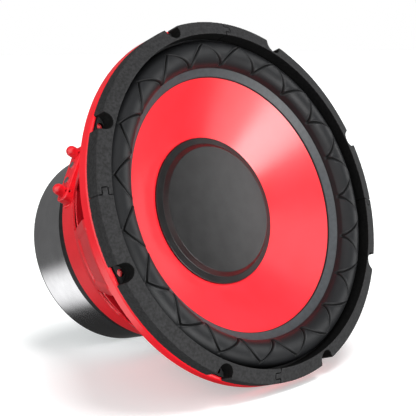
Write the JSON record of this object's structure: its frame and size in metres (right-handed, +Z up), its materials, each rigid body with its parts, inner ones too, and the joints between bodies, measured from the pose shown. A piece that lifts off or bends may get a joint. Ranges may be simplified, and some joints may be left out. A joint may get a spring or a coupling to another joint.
{
  "type": "car subwoofer driver",
  "caption": "Round stamped-frame subwoofer driver with roll surround, dished cone, raised dust cap, push terminals and a covered rear magnet.",
  "frame": {"origin": "centre of the screw circle in the plane of the flange's rear face", "axes": "-Y along the speaker axis out of the cone, +Z up, +X to the right when looking at the cone"},
  "size_m": [0.314, 0.208, 0.314],
  "materials": {
    "basket_red": "gloss enamel on stamped steel",
    "gasket_rubber": "matt moulded rubber",
    "surround_rubber": "satin rubber with pressed arches",
    "cone_red": "satin red metallised face",
    "cap_grey": "satin dark grey",
    "former_foil": "bright foil",
    "coil_copper": "varnished copper wire",
    "spider_cloth": "resin-treated cotton",
    "steel_black": "satin black",
    "ferrite": "ground ceramic ferrite",
    "yoke_steel": "zinc plated",
    "cover_chrome": "polished plating",
    "screen_black": "satin black",
    "rivet_steel": "plain",
    "block_red": "moulded red plastic",
    "contact_brass": "tinned brass",
    "spring_steel": "bright wire",
    "lead_braid": "copper tinsel braid"
  },
  "bodies": {
    "frame": {"basket": "basket_red", "basket_rivets": "rivet_steel", "surround": "surround_rubber", "spider": "spider_cloth", "top_plate": "steel_black", "front_magnet": "ferrite", "rear_magnet": "ferrite", "pole_yoke": "yoke_steel", "magnet_cover": "cover_chrome", "vent_screen": "screen_black", "terminal_block": "block_red", "terminal_block_rivets": "rivet_steel", "gasket_segment_upper_right": "gasket_rubber", "gasket_segment_upper_left": "gasket_rubber", "gasket_segment_lower_left": "gasket_rubber", "gasket_segment_lower_right": "gasket_rubber", "terminal_contact_negative": "contact_brass", "terminal_spring_negative": "spring_steel", "tinsel_lead_negative": "lead_braid", "terminal_contact_positive": "contact_brass", "terminal_spring_positive": "spring_steel", "tinsel_lead_positive": "lead_braid"},
    "cone_assembly": {"cone": "cone_red", "cone_eyelets": "contact_brass", "dust_cap": "cap_grey", "voice_coil_former": "former_foil", "voice_coil_winding": "coil_copper"},
    "button_negative": {"terminal_button_negative": "block_red"},
    "button_positive": {"terminal_button_positive": "block_red"}
  },
  "joints": [
    {"name": "cone_travel", "type": "slide", "parent": "frame", "child": "cone_assembly", "axis": [0, -1, 0], "range_m": [-0.008, 0.008], "stiffness_N_per_m": 4000, "deforming": ["surround", "spider", "tinsel_lead_negative", "tinsel_lead_positive"]},
    {"name": "terminal_negative_press", "type": "slide", "parent": "frame", "child": "button_negative", "axis": [0.809, 0, -0.5878], "range_m": [0, 0.002], "stiffness_N_per_m": 400, "springref_m": -0.001, "deforming": ["terminal_spring_negative"]},
    {"name": "terminal_positive_press", "type": "slide", "parent": "frame", "child": "button_positive", "axis": [0.809, 0, -0.5878], "range_m": [0, 0.002], "stiffness_N_per_m": 400, "springref_m": -0.001, "deforming": ["terminal_spring_positive"]}
  ]
}
